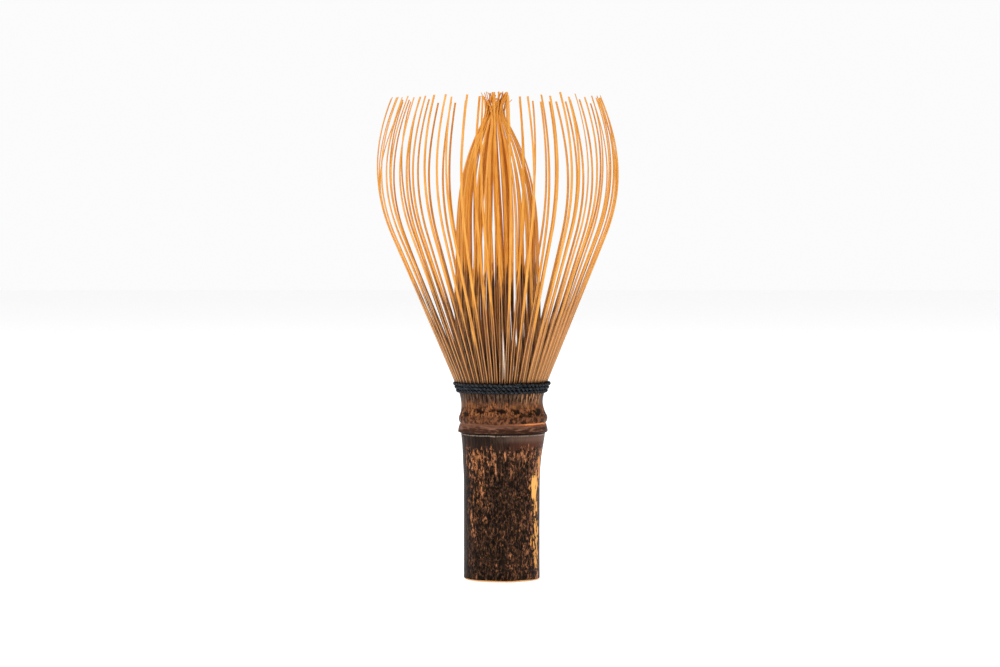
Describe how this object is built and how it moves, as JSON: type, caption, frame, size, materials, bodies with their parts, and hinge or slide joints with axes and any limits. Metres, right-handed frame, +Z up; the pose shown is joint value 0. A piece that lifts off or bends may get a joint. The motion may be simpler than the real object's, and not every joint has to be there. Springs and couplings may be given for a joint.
{
  "type": "bamboo tea whisk",
  "caption": "Whisk carved from one culm of dark bamboo: hollow handle with a node, thread-bound collar, a bell of springy outer slivers and a pointed inner bundle.",
  "frame": {"origin": "centre of the foot of the handle, on the surface the whisk stands on", "axes": "+Z up along the culm, from the foot to the tips; -Y is the side seen from the front"},
  "size_m": [0.0592, 0.0592, 0.1186],
  "materials": {
    "dark_bamboo": "waxed dark culm with golden mottling",
    "outer_bamboo": "satin split bamboo with strips of dark skin",
    "inner_bamboo": "satin shaved bamboo",
    "binding_thread": "twisted blue-black thread"
  },
  "bodies": {
    "handle": {"culm_handle": "dark_bamboo", "thread_row_1": "binding_thread", "thread_row_2": "binding_thread", "thread_row_3": "binding_thread", "thread_knot": "binding_thread"},
    "outer_tines_01": {"outer_tines_01": "outer_bamboo"},
    "outer_tines_02": {"outer_tines_02": "outer_bamboo"},
    "outer_tines_03": {"outer_tines_03": "outer_bamboo"},
    "outer_tines_04": {"outer_tines_04": "outer_bamboo"},
    "outer_tines_05": {"outer_tines_05": "outer_bamboo"},
    "outer_tines_06": {"outer_tines_06": "outer_bamboo"},
    "outer_tines_07": {"outer_tines_07": "outer_bamboo"},
    "outer_tines_08": {"outer_tines_08": "outer_bamboo"},
    "outer_tines_09": {"outer_tines_09": "outer_bamboo"},
    "outer_tines_10": {"outer_tines_10": "outer_bamboo"},
    "outer_tines_11": {"outer_tines_11": "outer_bamboo"},
    "outer_tines_12": {"outer_tines_12": "outer_bamboo"},
    "outer_tines_13": {"outer_tines_13": "outer_bamboo"},
    "outer_tines_14": {"outer_tines_14": "outer_bamboo"},
    "outer_tines_15": {"outer_tines_15": "outer_bamboo"},
    "outer_tines_16": {"outer_tines_16": "outer_bamboo"},
    "outer_tines_17": {"outer_tines_17": "outer_bamboo"},
    "outer_tines_18": {"outer_tines_18": "outer_bamboo"},
    "outer_tines_19": {"outer_tines_19": "outer_bamboo"},
    "outer_tines_20": {"outer_tines_20": "outer_bamboo"},
    "inner_tines_1": {"inner_tines_1": "inner_bamboo"},
    "inner_tines_2": {"inner_tines_2": "inner_bamboo"},
    "inner_tines_3": {"inner_tines_3": "inner_bamboo"},
    "inner_tines_4": {"inner_tines_4": "inner_bamboo"},
    "inner_tines_5": {"inner_tines_5": "inner_bamboo"}
  },
  "joints": [
    {"name": "outer_flex_01", "type": "hinge", "parent": "handle", "child": "outer_tines_01", "pos_m": [0.0102, 0, 0.0469], "axis": [0, 1, 0], "range_deg": [-4, 4], "stiffness_Nm_per_rad": 0.005},
    {"name": "outer_flex_02", "type": "hinge", "parent": "handle", "child": "outer_tines_02", "pos_m": [0.0097, 0.00315, 0.0469], "axis": [-0.309, 0.9511, 0], "range_deg": [-4, 4], "stiffness_Nm_per_rad": 0.005},
    {"name": "outer_flex_03", "type": "hinge", "parent": "handle", "child": "outer_tines_03", "pos_m": [0.00825, 0.006, 0.0469], "axis": [-0.5878, 0.809, 0], "range_deg": [-4, 4], "stiffness_Nm_per_rad": 0.005},
    {"name": "outer_flex_04", "type": "hinge", "parent": "handle", "child": "outer_tines_04", "pos_m": [0.006, 0.00825, 0.0469], "axis": [-0.809, 0.5878, 0], "range_deg": [-4, 4], "stiffness_Nm_per_rad": 0.005},
    {"name": "outer_flex_05", "type": "hinge", "parent": "handle", "child": "outer_tines_05", "pos_m": [0.00315, 0.0097, 0.0469], "axis": [-0.9511, 0.309, 0], "range_deg": [-4, 4], "stiffness_Nm_per_rad": 0.005},
    {"name": "outer_flex_06", "type": "hinge", "parent": "handle", "child": "outer_tines_06", "pos_m": [0, 0.0102, 0.0469], "axis": [-1, 0, 0], "range_deg": [-4, 4], "stiffness_Nm_per_rad": 0.005},
    {"name": "outer_flex_07", "type": "hinge", "parent": "handle", "child": "outer_tines_07", "pos_m": [-0.00315, 0.0097, 0.0469], "axis": [-0.9511, -0.309, 0], "range_deg": [-4, 4], "stiffness_Nm_per_rad": 0.005},
    {"name": "outer_flex_08", "type": "hinge", "parent": "handle", "child": "outer_tines_08", "pos_m": [-0.006, 0.00825, 0.0469], "axis": [-0.809, -0.5878, 0], "range_deg": [-4, 4], "stiffness_Nm_per_rad": 0.005},
    {"name": "outer_flex_09", "type": "hinge", "parent": "handle", "child": "outer_tines_09", "pos_m": [-0.00825, 0.006, 0.0469], "axis": [-0.5878, -0.809, 0], "range_deg": [-4, 4], "stiffness_Nm_per_rad": 0.005},
    {"name": "outer_flex_10", "type": "hinge", "parent": "handle", "child": "outer_tines_10", "pos_m": [-0.0097, 0.00315, 0.0469], "axis": [-0.309, -0.9511, 0], "range_deg": [-4, 4], "stiffness_Nm_per_rad": 0.005},
    {"name": "outer_flex_11", "type": "hinge", "parent": "handle", "child": "outer_tines_11", "pos_m": [-0.0102, 0, 0.0469], "axis": [0, -1, 0], "range_deg": [-4, 4], "stiffness_Nm_per_rad": 0.005},
    {"name": "outer_flex_12", "type": "hinge", "parent": "handle", "child": "outer_tines_12", "pos_m": [-0.0097, -0.00315, 0.0469], "axis": [0.309, -0.9511, 0], "range_deg": [-4, 4], "stiffness_Nm_per_rad": 0.005},
    {"name": "outer_flex_13", "type": "hinge", "parent": "handle", "child": "outer_tines_13", "pos_m": [-0.00825, -0.006, 0.0469], "axis": [0.5878, -0.809, 0], "range_deg": [-4, 4], "stiffness_Nm_per_rad": 0.005},
    {"name": "outer_flex_14", "type": "hinge", "parent": "handle", "child": "outer_tines_14", "pos_m": [-0.006, -0.00825, 0.0469], "axis": [0.809, -0.5878, 0], "range_deg": [-4, 4], "stiffness_Nm_per_rad": 0.005},
    {"name": "outer_flex_15", "type": "hinge", "parent": "handle", "child": "outer_tines_15", "pos_m": [-0.00315, -0.0097, 0.0469], "axis": [0.9511, -0.309, 0], "range_deg": [-4, 4], "stiffness_Nm_per_rad": 0.005},
    {"name": "outer_flex_16", "type": "hinge", "parent": "handle", "child": "outer_tines_16", "pos_m": [0, -0.0102, 0.0469], "axis": [1, 0, 0], "range_deg": [-4, 4], "stiffness_Nm_per_rad": 0.005},
    {"name": "outer_flex_17", "type": "hinge", "parent": "handle", "child": "outer_tines_17", "pos_m": [0.00315, -0.0097, 0.0469], "axis": [0.9511, 0.309, 0], "range_deg": [-4, 4], "stiffness_Nm_per_rad": 0.005},
    {"name": "outer_flex_18", "type": "hinge", "parent": "handle", "child": "outer_tines_18", "pos_m": [0.006, -0.00825, 0.0469], "axis": [0.809, 0.5878, 0], "range_deg": [-4, 4], "stiffness_Nm_per_rad": 0.005},
    {"name": "outer_flex_19", "type": "hinge", "parent": "handle", "child": "outer_tines_19", "pos_m": [0.00825, -0.006, 0.0469], "axis": [0.5878, 0.809, 0], "range_deg": [-4, 4], "stiffness_Nm_per_rad": 0.005},
    {"name": "outer_flex_20", "type": "hinge", "parent": "handle", "child": "outer_tines_20", "pos_m": [0.0097, -0.00315, 0.0469], "axis": [0.309, 0.9511, 0], "range_deg": [-4, 4], "stiffness_Nm_per_rad": 0.005},
    {"name": "inner_flex_1", "type": "hinge", "parent": "handle", "child": "inner_tines_1", "pos_m": [0.00879, 0.00046, 0.0469], "axis": [-0.0523, 0.9986, 0], "range_deg": [0, 4], "stiffness_Nm_per_rad": 0.012},
    {"name": "inner_flex_2", "type": "hinge", "parent": "handle", "child": "inner_tines_2", "pos_m": [0.00228, 0.0085, 0.0469], "axis": [-0.9659, 0.2588, 0], "range_deg": [0, 4], "stiffness_Nm_per_rad": 0.012},
    {"name": "inner_flex_3", "type": "hinge", "parent": "handle", "child": "inner_tines_3", "pos_m": [-0.00738, 0.00479, 0.0469], "axis": [-0.5446, -0.8387, 0], "range_deg": [0, 4], "stiffness_Nm_per_rad": 0.012},
    {"name": "inner_flex_4", "type": "hinge", "parent": "handle", "child": "inner_tines_4", "pos_m": [-0.00684, -0.00554, 0.0469], "axis": [0.6293, -0.7771, 0], "range_deg": [0, 4], "stiffness_Nm_per_rad": 0.012},
    {"name": "inner_flex_5", "type": "hinge", "parent": "handle", "child": "inner_tines_5", "pos_m": [0.00315, -0.00822, 0.0469], "axis": [0.9336, 0.3584, 0], "range_deg": [0, 4], "stiffness_Nm_per_rad": 0.012}
  ]
}
